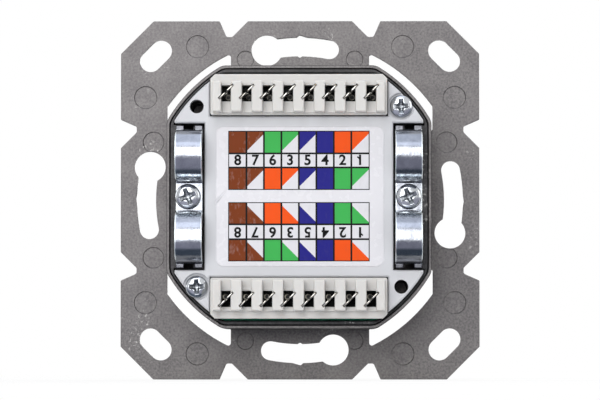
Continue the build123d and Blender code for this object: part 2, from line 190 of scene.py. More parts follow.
def newMaterial(name, colour, metallic, roughness, **more):
    made = bpy.data.materials.new(name)
    made.use_nodes = True
    shader = made.node_tree.nodes["Principled BSDF"]
    shader.inputs["Base Color"].default_value = linear(colour)
    shader.inputs["Metallic"].default_value = metallic
    shader.inputs["Roughness"].default_value = roughness
    for key, value in more.items():
        shader.inputs[key.replace("_", " ")].default_value = value
    return made, shader


def addNode(material, kind, links=(), **settings):  # links are (input name, output socket) pairs
    made = material.node_tree.nodes.new(kind)
    for key, value in settings.items():
        if key.startswith("in_"):
            made.inputs[key[3:].replace("_", " ")].default_value = value
        else:
            setattr(made, key, value)
    for name, socket in links:
        material.node_tree.links.new(socket, made.inputs[name])
    return made


def ramp(material, source, stops):
    made = addNode(material, "ShaderNodeValToRGB", [("Fac", source)])
    band = made.color_ramp
    while len(band.elements) < len(stops):
        band.elements.new(0.5)
    for element, (position, colour) in zip(band.elements, stops):
        element.position = position
        element.color = colour if isinstance(colour, list) else [colour, colour, colour, 1]
    return made.outputs["Color"]


def objectPoint(material):
    return addNode(material, "ShaderNodeTexCoord").outputs["Object"]


def noise(material, point, size, detail, roughness, distortion=0.0):  # size of a blot in millimetres
    made = addNode(material, "ShaderNodeTexNoise", [("Vector", point)], in_Scale=1 / (size * mm),
                   in_Detail=detail, in_Roughness=roughness, in_Distortion=distortion)
    return made.outputs["Fac"]


def stretched(material, point, scale):
    return addNode(material, "ShaderNodeMapping", [("Vector", point)], in_Scale=scale).outputs["Vector"]


def link(material, socket, target):
    material.node_tree.links.new(socket, target)


def bump(material, shader, height, depth, strength):  # depth in millimetres
    made = addNode(material, "ShaderNodeBump", [("Height", height)],
                   in_Strength=strength, in_Distance=depth * mm)
    link(material, made.outputs["Normal"], shader.inputs["Normal"])


def maths(material, operation, *values):  # each value is an output socket or a number with a point
    made = addNode(material, "ShaderNodeMath", operation=operation)
    for socket, value in zip(made.inputs, values):
        if isinstance(value, float):
            socket.default_value = value
        else:
            link(material, value, socket)
    return made.outputs[0]


def spread(material, value, low, high, start=0.0, end=1.0, **settings):  # low to high becomes start to end
    made = addNode(material, "ShaderNodeMapRange", [("Value", value)], in_From_Min=low, in_From_Max=high,
                   in_To_Min=start, in_To_Max=end, **settings)
    return made.outputs["Result"]


def reachAlong(material, point, axis):  # how far a point lies from the middle along one axis
    apart = addNode(material, "ShaderNodeSeparateXYZ", [("Vector", point)])
    return maths(material, "ABSOLUTE", apart.outputs[axis])


def mixed(material, share, first, second):  # two colours, each an output socket or a list, mixed by a share
    made = addNode(material, "ShaderNodeMix", [("Factor", share)], data_type="RGBA")
    colourInputs = [socket for socket in made.inputs if socket.type == "RGBA"]
    for socket, colour in zip(colourInputs, (first, second)):
        if isinstance(colour, list):
            socket.default_value = colour
        else:
            link(material, colour, socket)
    return [socket for socket in made.outputs if socket.type == "RGBA"][0]


def blended(material, share, first, second):  # two shaders mixed by a share
    made = addNode(material, "ShaderNodeMixShader", [("Fac", share), (1, first), (2, second)])
    return made.outputs[0]


def toned(colour, share, more=0.0):  # a linear colour darkened by a share, with some white added
    return [c * share + more for c in colour[:3]] + [1]


def castZinc(name, dark, light, metallic, roughLow, roughHigh):
    # Die-cast zinc, bare and blasted: a dull grey skin, half metal and half oxide, with a sugary grain and
    # clusters of bright grazes
    made, shader = newMaterial(name, light, metallic, 0.5)
    point = objectPoint(made)
    grain = noise(made, point, 0.42, 3.0, 0.6)
    cloud = noise(made, point, 5.0, 3.0, 0.55)
    both = maths(made, "MULTIPLY_ADD", cloud, 0.3, grain)
    colour = ramp(made, both, [(0.5, linear(dark)), (0.8, linear(light))])
    speck = ramp(made, noise(made, point, 0.6, 3.0, 0.6), [(0.58, 0.0), (0.66, 1.0)])
    patch = noise(made, stretched(made, point, (1, 1, 0.6)), 9.0, 2.0, 0.5)
    cluster = ramp(made, patch, [(0.58, 0.0), (0.7, 0.9)])
    bright = maths(made, "MULTIPLY", speck, cluster)
    link(made, mixed(made, bright, colour, linear("#B9B7B4")), shader.inputs["Base Color"])
    link(made, ramp(made, grain, [(0.3, roughLow), (0.7, roughHigh)]), shader.inputs["Roughness"])
    bump(made, shader, grain, 0.02, 0.6)
    return made


def moulded(name, colour, roughness, grainSize, depth, **more):
    # Injection-moulded plastic: even colour, with the fine matt of the spark-eroded mould
    made, shader = newMaterial(name, colour, 0.0, roughness, **more)
    point = objectPoint(made)
    skin = noise(made, point, grainSize, 2.0, 0.5)
    cloud = noise(made, point, 9.0, 2.0, 0.5)
    base = linear(colour)
    link(made, ramp(made, cloud, [(0.35, toned(base, 0.955)), (0.65, base)]), shader.inputs["Base Color"])
    matt = ramp(made, skin, [(0.3, roughness * 0.88), (0.7, roughness * 1.12)])
    link(made, matt, shader.inputs["Roughness"])
    bump(made, shader, skin, depth, 0.5)
    return made


def plated(name, colour, tint, roughness, waves, scratch=0.5, waveSize=1.9):
    # Zinc-plated and passivated steel: bright, with a bluish cast, faint waves and handling marks
    made, shader = newMaterial(name, colour, 1.0, roughness)
    point = objectPoint(made)
    cloud = noise(made, point, 2.4, 3.0, 0.6, 0.4)
    link(made, ramp(made, cloud, [(0.35, linear(colour)), (0.7, linear(tint))]), shader.inputs["Base Color"])
    fine = noise(made, stretched(made, point, (1, 1, 0.25)), 0.3, 3.0, 0.6)
    marks = ramp(made, fine, [(0.35, roughness * 0.75), (0.72, roughness * (1 + scratch))])
    link(made, marks, shader.inputs["Roughness"])
    bump(made, shader, noise(made, point, waveSize, 2.0, 0.5), waves, 0.6)
    return made


strapCentre = 21.05  # from the socket's middle to the middle line of a strap
# Painted light on the straps, in millimetres: reflection at the bends, highlight on the edges, shade at the
# feet
strapPaintedLight = {"bendSpan": 10, "bends": (0.27, 0.3, 0.38, 0.43), "edgeStart": 2.3, "edgeEnd": 2.5,
             "footStart": 12.75, "footEnd": 13.05, "footShade": "#5A5B60"}


def paintedLightStrap(name, colour, tint, highlightTone):
    # Strip steel, plated after bending. Painted light: a mottled, brighter painted reflection at the bends
    # beside the screw, a painted highlight along its edges and painted shade at the feet, which stand deep in
    # the housing
    made = plated(name, colour, tint, 0.18, 0.05, waveSize=1.4)
    shader = made.node_tree.nodes["Principled BSDF"]
    base = shader.inputs["Base Color"].links[0].from_socket
    point = objectPoint(made)
    along = reachAlong(made, point, "Z")
    bendStops = list(zip(strapPaintedLight["bends"], (0.0, 1.0, 1.0, 0.0)))
    bendReflection = ramp(made, spread(made, along, 0, strapPaintedLight["bendSpan"] * mm), bendStops)
    mottle = ramp(made, noise(made, point, 1.1, 4.0, 0.65, 1.0), [(0.4, 0.15), (0.6, 1.0)])
    fromCentre = maths(made, "SUBTRACT", reachAlong(made, point, "X"), strapCentre * mm)
    away = maths(made, "ABSOLUTE", fromCentre)
    edge = spread(made, away, strapPaintedLight["edgeStart"] * mm, strapPaintedLight["edgeEnd"] * mm)
    # the bends get a painted reflection and the edges a painted highlight
    bright = maths(made, "MAXIMUM", maths(made, "MULTIPLY", bendReflection, mottle), edge)
    wearAndSheen = mixed(made, bright, base, linear(highlightTone))
    # painted shade at the feet
    foot = spread(made, along, strapPaintedLight["footStart"] * mm, strapPaintedLight["footEnd"] * mm)
    link(made, mixed(made, foot, wearAndSheen, linear(strapPaintedLight["footShade"])), shader.inputs["Base Color"])
    return made


def inked(name, colour, scuffed=0.008, roughness=0.42):
    # Ink printed on the label: flat, strong colour, a little scuffed, with hardly any gloss
    made, shader = newMaterial(name, colour, 0.0, roughness, Specular_IOR_Level=0.12)
    point = objectPoint(made)
    scuff = noise(made, stretched(made, point, (1, 1, 0.4)), 0.8, 4.0, 0.6)
    base = linear(colour)
    wearAndSheen = toned(base, 0.94, scuffed)
    link(made, ramp(made, scuff, [(0.55, base), (0.7, wearAndSheen)]), shader.inputs["Base Color"])
    gloss = ramp(made, scuff, [(0.3, roughness * 0.85), (0.7, roughness * 1.3)])
    link(made, gloss, shader.inputs["Roughness"])
    return made


boardRim = (22.4, 23.2)  # where the mask turns from painted shade to green, up and down from the board's middle


def solderMask(name, colour, shaded):
    # Green solder mask on a circuit board: glossy green at the board's rim, painted shade round the contacts
    made, shader = newMaterial(name, colour, 0.0, 0.34, Specular_IOR_Level=0.1)
    point = objectPoint(made)
    rim = spread(made, reachAlong(made, point, "Z"), boardRim[0] * mm, boardRim[1] * mm)
    link(made, ramp(made, rim, [(0.0, linear(shaded)), (1.0, linear(colour))]), shader.inputs["Base Color"])
    traces = noise(made, point, 0.8, 2.0, 0.5)
    link(made, ramp(made, traces, [(0.4, 0.3), (0.6, 0.5)]), shader.inputs["Roughness"])
    bump(made, shader, traces, 0.01, 0.5)
    return made


zinc = castZinc("castZincSkin", "#575455", "#777473", 0.6, 0.38, 0.52)
# The same zinc, darker, for the frame's rounded edges: painted shade
edgeShadeZinc = castZinc("castZincEdgeShade", "#2C2A2A", "#454342", 0.6, 0.45, 0.6)
# The carrier is the same zinc as the frame, painted darker: painted shade for the hollow it sits in
carrierZincShaded = castZinc("castZincCarrierShaded", "#252526", "#403F40", 0.8, 0.32, 0.48)
coverAbs = moulded("whiteAbsMoulded", "#CECFD3", 0.34, 0.22, 0.006)
blockPbt = moulded("whitePbtMoulded", "#D5D3D0", 0.4, 0.2, 0.006,
                   Subsurface_Weight=0.5, Subsurface_Scale=0.8 * mm, Subsurface_Radius=(1.0, 0.9, 0.8))
jackPbt = moulded("blackPbtMoulded", "#18181A", 0.42, 0.2, 0.006)
filmPet = moulded("labelFilmGloss", "#DDDCE1", 0.26, 1.4, 0.004)
boardMask = solderMask("solderMaskGreen", "#2C8A6C", "#050B09")
solder = plated("solderedRing", "#A09C92", "#6B6861", 0.3, 0.02)
# its last colour is the painted highlight and reflection at the edges and bends
clampSteel = paintedLightStrap("zincPlatedStrap", "#93969D", "#82858D", "#E4EBEE")
screwSteel = plated("zincPlatedScrew", "#C2C5C9", "#A2A6AC", 0.17, 0.06, waveSize=1.0)
# The same plated steel, darker, for the faces inside the cross recess: painted shade
recessShadeSteel = plated("zincPlatedRecessShade", "#A3A7AB", "#6E7276", 0.3, 0.06, waveSize=0.8)
tinnedBronze = plated("tinnedBronzeBlade", "#BFBDB8", "#8F8B83", 0.24, 0.008)
tinplate = plated("tinplateShield", "#B7B8B9", "#9B9C9E", 0.28, 0.012)
gold = plated("goldPlatedWire", "#E2B458", "#C08A35", 0.2, 0.004)
inks = {
    "brown": inked("inkBrown", "#78350E", 0.1),
    "green": inked("inkGreen", "#3FB053"),
    "orange": inked("inkOrange", "#F0540F"),
    "blue": inked("inkBlue", "#201E80"),
    "white": inked("inkWhite", "#DFDEE3"),
    "black": inked("inkBlack", "#070708"),
}
print("materials made")


# Camera, lamps and floor

cameraSetup = {"distance": 800.0, "right": 10.0, "below": 32.0, "viewWidth": 117.46, "sensor": 36.0}


def addCamera():
    setup = cameraSetup
    where = place(setup["right"], -setup["below"], setup["distance"])
    bpy.ops.object.camera_add(location=where)
    camera = bpy.context.object
    camera.name = "camera"
    camera.rotation_euler = (-where).to_track_quat("-Z", "Y").to_euler()
    camera.data.sensor_width = setup["sensor"]
    camera.data.lens = setup["sensor"] * where.length / (setup["viewWidth"] * mm)
    camera.data.clip_start, camera.data.clip_end = 0.01, 20
    bpy.context.scene.camera = camera


lampSetup = {  # place, width and height in metres, then the brightness and tint of its face
    "keyLamp": ((0.128, 0.553, 0.195), 0.37, 0.41, 4.3, "#FFFFFF"),
    "topLamp": ((0.02, 0.171, 0.47), 0.3, 0.55, 1.3, "#E6ECF8"),
    "roomLamp": ((-0.128, -0.553, 0.195), 0.4, 0.42, 4.2, "#FFFFFF"),
    "roomSideLamp": ((0.50, -0.20, 0.16), 0.35, 0.35, 2.0, "#FFFFFF"),
    "sideLamp": ((-0.52, 0.08, 0.14), 0.3, 0.35, 2.2, "#FFFFFF"),
}


def addLamps():
    for name, (where, wide, tall, bright, colour) in lampSetup.items():
        bpy.ops.object.light_add(type="AREA", location=where)
        lamp = bpy.context.object
        lamp.name = name
        lamp.rotation_euler = (-Vector(where)).to_track_quat("-Z", "Y").to_euler()
        lamp.data.shape = "RECTANGLE"
        lamp.data.size, lamp.data.size_y = wide, tall
        lamp.data.energy = bright * math.pi * wide * tall
        lamp.data.color = linear(colour)[:3]
        lamp.visible_camera = False


worldSetup = {"soft": 0.3, "white": 1.0}


def addWorld():
    world = bpy.data.worlds.new("studio")
    bpy.context.scene.world = world
    world.use_nodes = True
    background = world.node_tree.nodes["Background"]
    background.inputs["Color"].default_value = (1, 1, 1, 1)
    path = addNode(world, "ShaderNodeLightPath").outputs
    seen = maths(world, "MAXIMUM", path["Is Camera Ray"], path["Is Glossy Ray"])
    seen = maths(world, "MAXIMUM", seen, path["Is Transmission Ray"])
    strength = spread(world, seen, 0, 1, worldSetup["soft"], worldSetup["white"])
    link(world, strength, background.inputs["Strength"])


# The floor catches a soft shadow near the socket, fades out and is clear from below

floorSetup = {"radius": 0.6, "gap": 0.05, "fadeStart": 0.12, "fadeEnd": 0.4, "glow": 0.85}


def addFloor():
    setup = floorSetup
    bpy.ops.mesh.primitive_circle_add(vertices=96, radius=setup["radius"], fill_type="NGON",
                                      location=(0, 0, cadBox[0].z - setup["gap"] * mm))
    floor = settle(bpy.context.object, "floor")
    made, shader = newMaterial("paleFloor", "#F1F1F0", 0.0, 0.9)
    away = addNode(made, "ShaderNodeVectorMath", [(0, objectPoint(made))], operation="LENGTH")
    fade = ramp(made, away.outputs["Value"], [(setup["fadeStart"], 0.0), (setup["fadeEnd"], 1.0)])
    under = addNode(made, "ShaderNodeNewGeometry").outputs["Backfacing"]
    seen = addNode(made, "ShaderNodeLightPath").outputs["Is Camera Ray"]
    white = addNode(made, "ShaderNodeEmission").outputs[0]
    clear = addNode(made, "ShaderNodeBsdfTransparent").outputs[0]
    pale = blended(made, maths(made, "MULTIPLY", seen, setup["glow"]), shader.outputs[0], white)
    whole = blended(made, maths(made, "MAXIMUM", fade, under), pale, clear)
    link(made, whole, made.node_tree.nodes["Material Output"].inputs["Surface"])
    floor.data.materials.append(made)


# Studio cards that only metal shows, as bands beside the bright ones: grey in front and below, and pale
# blue above
cardSetup = {  # middle, size, and the tones at the near and far end with the stretch between them
    "greyCard": ((0, 0.255, cadBox[0].z + 0.9 * mm), (0.7, 0.48), ("#64707F", "#CFCFE0", 1.0), (0.034, 0.05)),
    "skyCard": ((0, 0.171, 0.44), (0.34, 0.62), ("#E6ECF8", "#E6ECF8", 2.2), (0.0, 0.4)),
}
cardDim = {"from": -0.035, "to": 0.03, "share": 0.72}  # a little darker to the right, as the straps show


def addCard(name, middle, size, tones, stretch):
    bpy.ops.mesh.primitive_plane_add(size=1, location=middle)
    bpy.context.object.scale = (*size, 1)
    card = settle(bpy.context.object, name)
    card.visible_camera = card.visible_diffuse = card.visible_shadow = card.visible_transmission = False
    made = bpy.data.materials.new(name)
    made.use_nodes = True
    apart = addNode(made, "ShaderNodeSeparateXYZ", [("Vector", objectPoint(made))]).outputs
    share = spread(made, apart["Y"], *stretch, interpolation_type="SMOOTHSTEP")
    tone = ramp(made, share, [(0.0, linear(tones[0])), (1.0, linear(tones[1]))])
    dimmed = spread(made, apart["X"], cardDim["from"], cardDim["to"], tones[2] * cardDim["share"], tones[2])
    shine = addNode(made, "ShaderNodeEmission", [("Color", tone), ("Strength", dimmed)])
    link(made, shine.outputs[0], made.node_tree.nodes["Material Output"].inputs["Surface"])
    card.data.materials.append(made)


bpy.context.scene.view_settings.view_transform = "Standard"
addCamera()
addLamps()
addWorld()
addFloor()
for name, setup in cardSetup.items():
    addCard(name, *setup)
print("camera, lamps and floor made")


# Cast and moulded pieces are the CAD solids with the edge radii that their moulds leave

def bareCopy(node, name):
    made = copyOf(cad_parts[node], name)
    for key in list(made.keys()):
        del made[key]
    made.parent = None
    makeActive(made)
    bpy.ops.mesh.customdata_custom_splitnormals_clear()
    weldAll(made)
    bpy.ops.mesh.tris_convert_to_quads(face_threshold=math.radians(0.5), shape_threshold=math.pi)
    backToObject()
    return made


def roundSharp(piece, test, width, segments=2, sharp=35):  # rounds the sharp edges that pass the test
    makeActive(piece)
    bpy.ops.object.mode_set(mode="EDIT")
    bpy.ops.mesh.select_mode(type="EDGE")
    bpy.ops.mesh.select_all(action="DESELECT")
    bpy.ops.mesh.edges_select_sharp(sharpness=math.radians(sharp))
    bpy.ops.object.mode_set(mode="OBJECT")
    mesh = piece.data
    for edge in mesh.edges:
        ends = [mesh.vertices[i].co for i in edge.vertices]
        if edge.select and not test((ends[0] + ends[1]) / 2 / mm, (ends[1] - ends[0]) / mm):
            edge.select = False
    bpy.ops.object.mode_set(mode="EDIT")
    bpy.ops.mesh.bevel(offset=width * mm, segments=segments, affect="EDGES", clamp_overlap=False)
    backToObject()


# What counts as flat: the least area that makes a plane, in square millimetres, then how narrow a sliver is
# and how far its normal and its middle may lie off the plane
flatness = {"area": 0.2, "sliver": 0.15, "sliverAlong": 0.3, "sliverAway": 0.09}


def evenShading(piece, angle=40):  # flat faces stay flat and only the rounded edges shade
    makeActive(piece)
    bpy.ops.object.shade_smooth_by_angle(angle=math.radians(angle))
    applyModifier(piece, "WEIGHTED_NORMAL", mode="FACE_AREA", weight=50, keep_sharp=True)
    mesh = piece.data
    planes = []
    for face in sorted(mesh.polygons, key=lambda face: -face.area):
        if face.area < flatness["area"] * mm * mm:
            break
        onPlane = [plane for plane in planes if liesOn(face, plane)]
        if onPlane:
            onPlane[0]["faces"] += 1
        else:
            planes.append({"normal": face.normal.copy(), "point": face.center.copy(), "faces": 1})
    planes = [plane for plane in planes if plane["faces"] > 2]
    normals = [corner.vector.copy() for corner in mesh.corner_normals]
    for face in mesh.polygons:  # the triangles of a flat area take the area's own normal at every corner
        least = flatness["sliver"] * mm * longestSide(piece, face)
        sliver = len(face.vertices) == 3 and face.area < least
        loose = (flatness["sliverAlong"], flatness["sliverAway"])
        for plane in planes:
            if liesOn(face, plane) or sliver and liesOn(face, plane, *loose):
                for index in face.loop_indices:
                    normals[index] = plane["normal"]
    mesh.normals_split_custom_set(normals)


def liesOn(face, plane, along=0.9995, away=0.003):  # away in millimetres
    return (face.normal.dot(plane["normal"]) > along
            and abs((face.center - plane["point"]).dot(plane["normal"])) < away * mm)


castPieces = {  # name, material, slot and edge radius of what stands for each node
    "support_frame": ("castFrame", zinc, "cast_zinc", 0.12),
    "clamp_carrier": ("castCarrier", carrierZincShaded, "carrier_zinc", 0.1),
    "rear_cover": ("whiteCover", coverAbs, "cover_plastic", 0.1),
}
shortestEdge = 0.3
ejectorMark = {"zone": (-0.16, 0.02), "longest": 1.2, "steepest": 0.12, "floor": (-0.11, -0.09),
               "lift": 0.0999, "slope": 0.14, "sunk": 0.16}
edgeBand = {"slant": (0.2, 0.97), "marks": (-0.14, 0), "narrow": 2.5}


def notOnMark(middle, along):  # the ejector marks are too shallow to round
    low, high = ejectorMark["zone"]
    onRing = along.length < ejectorMark["longest"] and abs(along.y) < ejectorMark["steepest"]
    return not (low < middle.y < high and onRing)


def notShort(middle, along):
    return along.length > shortestEdge


def slopeMarks(piece):  # each ejector mark gets the fine slope that its pin leaves around it
    low, high = ejectorMark["floor"]
    pick(piece, lambda middle, normal: normal.y > 0.9 and low < middle.y / mm < high)
    bpy.ops.transform.translate(value=(0, ejectorMark["lift"] * mm, 0))
    bpy.ops.mesh.inset(thickness=ejectorMark["slope"] * mm)
    bpy.ops.transform.translate(value=(0, -ejectorMark["sunk"] * mm, 0))
    backToObject()
    weldAll(piece)
    backToObject()


def darkenEdges(piece, width):  # the rounded edges get painted shade, for the dark that they reflect
    piece.data.materials.append(edgeShadeZinc)
    flat, steep = edgeBand["slant"]
    low, high = edgeBand["marks"]
    for face in piece.data.polygons:
        slanted = flat < abs(face.normal.y) < steep and not low < face.center.y / mm < high
        widest = edgeBand["narrow"] * width * mm * longestSide(piece, face)
        narrow = len(face.vertices) == 4 and face.area < widest
        face.material_index = int(slanted and narrow)


def longestSide(piece, face):
    corners = [piece.data.vertices[i].co for i in face.vertices]
    return max((one - other).length for one, other in zip(corners, corners[1:] + corners[:1]))


for node, (name, material, slotName, width) in castPieces.items():
    onFrame = node == "support_frame"
    piece = bareCopy(node, name)
    roundSharp(piece, notOnMark if onFrame else notShort, width)
    if onFrame:
        slopeMarks(piece)
    evenShading(piece)
    dress(piece, material, slotName, node)
    if onFrame:
        darkenEdges(piece, width)
print("cast pieces made")


# Terminal blocks: a base with a comb of nine rounded teeth, then pockets and blade seats cut through

comb = {"halfWidth": 16.93, "inner": 15.6, "outer": 23.4, "low": 14.0, "base": 18.6, "cutFace": 1.20207,
        "corner": 0.4, "baseRound": 0.14, "combHalf": 16.45, "combInner": 16.0, "combOuter": 21.95,
        "floor": 19.4, "top": 22.4, "sunk": 0.3, "pitch": 3.96, "slots": 8, "channel": 1.85, "over": 0.1,
        "pocket": (19.65, 3.1), "toothRound": 0.3, "seat": (3.92, 0.5), "seatCentre": 19.8, "speck": 0.002}
blade = {"width": 3.8, "thickness": 0.26, "top": 21.7, "low": 14.0, "slit": 0.3, "slitDepth": 4.6,
         "mouthSide": 0.59388, "centre": 19.8, "turn": 45, "edge": 0.05}
ringSetup = {"shift": (0.25, 0.62), "outer": 0.56, "inner": 0.34, "height": 0.05, "sunk": 0.04,
             "middle": 0.05}


def slotPlace(number):
    return (number - (comb["slots"] - 1) / 2) * comb["pitch"]


def span(low, high, start, end, bottom, top):  # a cuboid from its limits in u, v and h
    middle = ((low + high) / 2, (start + end) / 2, (bottom + top) / 2)
    return cuboid(middle, (high - low, end - start, top - bottom))


def makeBlock():
    made = span(-comb["halfWidth"], comb["halfWidth"], comb["inner"], comb["outer"],
                comb["low"], comb["base"])
    upright = lambda along: abs(along.y) > 0.9 * along.length
    middleV = (comb["inner"] + comb["outer"]) / 2 * mm
    pick(made, lambda middle, along: upright(along) and middle.z > middleV, "EDGE")
    bpy.ops.mesh.bevel(offset=comb["cutFace"] * mm, segments=1, affect="EDGES", offset_type="WIDTH")
    backToObject()
    pick(made, lambda middle, along: upright(along) and middle.z < middleV, "EDGE")
    bpy.ops.mesh.bevel(offset=comb["corner"] * mm, segments=5, affect="EDGES")
    backToObject()
    roundSharp(made, lambda middle, along: middle.y > comb["base"] - 0.01, comb["baseRound"], 3)
    bar = span(-comb["combHalf"], comb["combHalf"], comb["combInner"], comb["combOuter"],
               comb["base"] - comb["sunk"], comb["floor"])
    combine(made, bar, "UNION")
    edges = [-comb["combHalf"]]
    for number in range(comb["slots"]):
        edges += [slotPlace(number) - comb["channel"] / 2, slotPlace(number) + comb["channel"] / 2]
    edges.append(comb["combHalf"])
    for left, right in zip(edges[::2], edges[1::2]):
        tooth = span(left, right, comb["combInner"], comb["combOuter"],
                     comb["floor"] - comb["sunk"], comb["top"])
        roundSharp(tooth, lambda middle, along: middle.y > comb["floor"], comb["toothRound"], 3)
        combine(made, tooth, "UNION")
    for number in range(comb["slots"]):
        u = slotPlace(number)
        middle, size = comb["pocket"]
        half = comb["channel"] / 2
        subtract(made, span(u - half, u + half, middle - size / 2, middle + size / 2,
                            comb["low"] - comb["over"], comb["floor"] + comb["over"]))
        tall = comb["top"] - comb["low"] + 4 * comb["over"]
        centre = (u, comb["seatCentre"], (comb["top"] + comb["low"]) / 2)
        subtract(made, cuboid(centre, (*comb["seat"], tall), blade["turn"]))
    finishNormals(made)
    pick(made, lambda middle, normal: True)
    bpy.ops.mesh.dissolve_degenerate(threshold=comb["speck"] * mm)
    backToObject()
    evenShading(made, 35)
    return made


# Cutting blades, thin and bright, with a slit and a small lead-in, and the plated holes beneath

def makeBlade():
    height = blade["top"] - blade["low"]
    made = cuboid((0, 0, blade["low"] + height / 2), (blade["width"], blade["thickness"], height))
    subtract(made, cuboid((0, 0, blade["top"] - blade["slitDepth"] / 2),
                          (blade["slit"], 2 * blade["thickness"], blade["slitDepth"] + 0.2)))
    notch = cuboid((0, 0, 0), (blade["mouthSide"], 2 * blade["thickness"], blade["mouthSide"]))
    makeActive(notch)
    notch.rotation_euler = (0, 0, math.pi / 4)
    notch.location = place(0, 0, blade["top"])
    subtract(made, settle(notch, "notch"))
    roundEdges(made, blade["edge"])
    evenShading(made)
    return made


def makeRing():
    height = ringSetup["height"]
    bpy.ops.mesh.primitive_cylinder_add(vertices=24, radius=ringSetup["outer"] * mm, depth=height * mm,
                                        location=(0, (blade["low"] + height / 2) * mm, 0),
                                        rotation=(math.pi / 2, 0, 0))
    made = settle(bpy.context.object, "ringPattern")
    pick(made, lambda middle, normal: normal.y > 0.9)
    bpy.ops.mesh.inset(thickness=(ringSetup["outer"] - ringSetup["inner"]) * mm)
    bpy.ops.transform.translate(value=(0, -ringSetup["sunk"] * mm, 0))
    backToObject()
    made.data.materials.append(solder)
    made.data.materials.append(jackPbt)
    for face in made.data.polygons:
        face.material_index = int(face.normal.y > 0.9 and fromAxis(face) < ringSetup["middle"] * mm)
    return made


block = makeBlock()
lower = copyOf(block, "combBlockLower", turn=(0, math.pi, 0))
block.name = "combBlockUpper"
dress(block, blockPbt, "block_plastic", "terminal_block_upper")
dress(lower, blockPbt, "block_plastic", "terminal_block_lower")
print("terminal blocks made")

pattern = makeBlade()
ringPattern = makeRing()
for side, row in ((1, "upper"), (-1, "lower")):
    for number in range(comb["slots"]):
        u = slotPlace(number)
        ending = "%s%d" % (row.title(), number + 1)
        made = copyOf(pattern, "blade" + ending, place(u, side * blade["centre"], 0),
                      (0, math.radians(blade["turn"]), 0))
        dress(made, tinnedBronze, "tinned_bronze", "idc_contact_%s_%d" % (row, number + 1))
        right, down = ringSetup["shift"]
        ringPlace = place(u + side * right, side * (blade["centre"] - down), 0)
        ring = copyOf(ringPattern, "padRing" + ending, ringPlace)
        dress(ring, None, "tinned_bronze")
for piece in (pattern, ringPattern):
    bpy.data.objects.remove(piece)
print("blades and plated holes made")


# Cable clamps: a strap of strip steel bent into two arches, with notched feet

strap = {"width": 5.2, "thick": 0.8, "level": 15.7, "foot": 13.75, "bend": 0.6, "bendSteps": 5,
         "arch": 7.75, "archLevel": 17.3, "radius": 4.6, "archSteps": 28, "lean": 0.75, "crest": 0.9,
         "hole": 1.5, "notch": (2.0, 0.9), "edge": 0.2}


def go(v, h):
    bpy.ops.mesh.extrude_region_move(TRANSFORM_OT_translate={"value": (0, h * mm, v * mm)})


def bend(v, h, degrees, steps):
    bpy.ops.mesh.spin(steps=steps, angle=math.radians(degrees), center=(0, h * mm, v * mm), axis=(1, 0, 0))


def makeStrap():
    bpy.ops.mesh.primitive_plane_add(size=mm, location=(0, strap["level"] * mm, strap["foot"] * mm))
    made = bpy.context.object
    made.scale = (strap["width"], strap["thick"], 1)
    made = settle(made, "strapPattern")
    turnLevel = strap["level"] + strap["bend"]
    outer = strap["arch"] + strap["radius"] + strap["bend"]
    inner = strap["arch"] - strap["radius"] - strap["bend"]
    pick(made, lambda middle, normal: True)
    go(outer - strap["foot"], 0)
    bend(outer, turnLevel, -90, strap["bendSteps"])
    go(0, strap["archLevel"] - turnLevel)
    bend(strap["arch"], strap["archLevel"], 180, strap["archSteps"])
    go(0, turnLevel - strap["archLevel"])
    bend(inner, turnLevel, -90, strap["bendSteps"])
    go(-inner, 0)
    bpy.ops.mesh.delete(type="FACE")
    backToObject()
    applyModifier(made, "MIRROR", use_axis=(False, False, True), merge_threshold=0.001 * mm)
    finishNormals(made)
    crest = strap["archLevel"] + strap["radius"] - strap["thick"]  # the lower arch leans towards its foot
    near = strap["crest"] * mm
    pick(made, lambda at, normal: at.y > crest * mm and abs(at.z + strap["arch"] * mm) < near, "VERT")
    bpy.ops.transform.translate(value=(0, 0, -strap["lean"] * mm), use_proportional_edit=True,
                                proportional_edit_falloff="SMOOTH", proportional_size=strap["radius"] * mm)
    backToObject()
    for end in (-1, 1):
        subtract(made, cuboid((0, end * strap["foot"], strap["level"]),
                              (strap["notch"][0], 2 * strap["notch"][1], 2 * strap["thick"])))
    bpy.ops.mesh.primitive_cylinder_add(vertices=32, radius=strap["hole"] * mm, depth=3 * strap["thick"] * mm,
                                        location=(0, strap["level"] * mm, 0), rotation=(math.pi / 2, 0, 0))
    subtract(made, settle(bpy.context.object, "drill"))
    roundEdges(made, strap["edge"], 3, 50)
    evenShading(made, 50)
    return made


pattern = makeStrap()
for side, name in ((-1, "Left"), (1, "Right")):
    made = copyOf(pattern, "strap" + name, place(side * strapCentre, 0, 0))
    dress(made, clampSteel, "clamp_steel", "cable_clamp_" + name.lower())
bpy.data.objects.remove(pattern)
print("clamps made")


# Pan-head screws with a cross recess

clampScrew = {"name": "clampScrew", "radius": 2.46, "height": 1.5, "seat": 16.1, "length": 8.0, "turn": 22,
              "places": {"clamp_screw_left": (-21.3, 0), "clamp_screw_right": (strapCentre, 0)}}
coverScrew = {"name": "coverScrew", "radius": 2.16, "height": 1.3, "seat": 16.1, "length": 9.0, "turn": 3,
              "places": {"cover_screw_upper": (19.6, 17.3), "cover_screw_lower": (-19.6, -17.3)}}
recess = {"arm": 0.92, "core": 1.7, "reach": 0.76, "depth": 0.95, "over": 0.1, "narrow": 0.4, "shank": 1.25,
          "edge": 0.05, "within": 0.9, "skin": 0.12}
skirtShare = 0.35  # the upright rim of the head, as a share of its height
headCurve = [(0.985, 0.5), (0.93, 0.68), (0.82, 0.83), (0.66, 0.93), (0.45, 0.985), (0.22, 1.0)]


def taper(piece, share):  # narrows a cutter's lower end
    pick(piece, lambda middle, normal: normal.y < -0.5)
    bpy.ops.transform.resize(value=(share, 1, share))
    backToObject()
    return piece


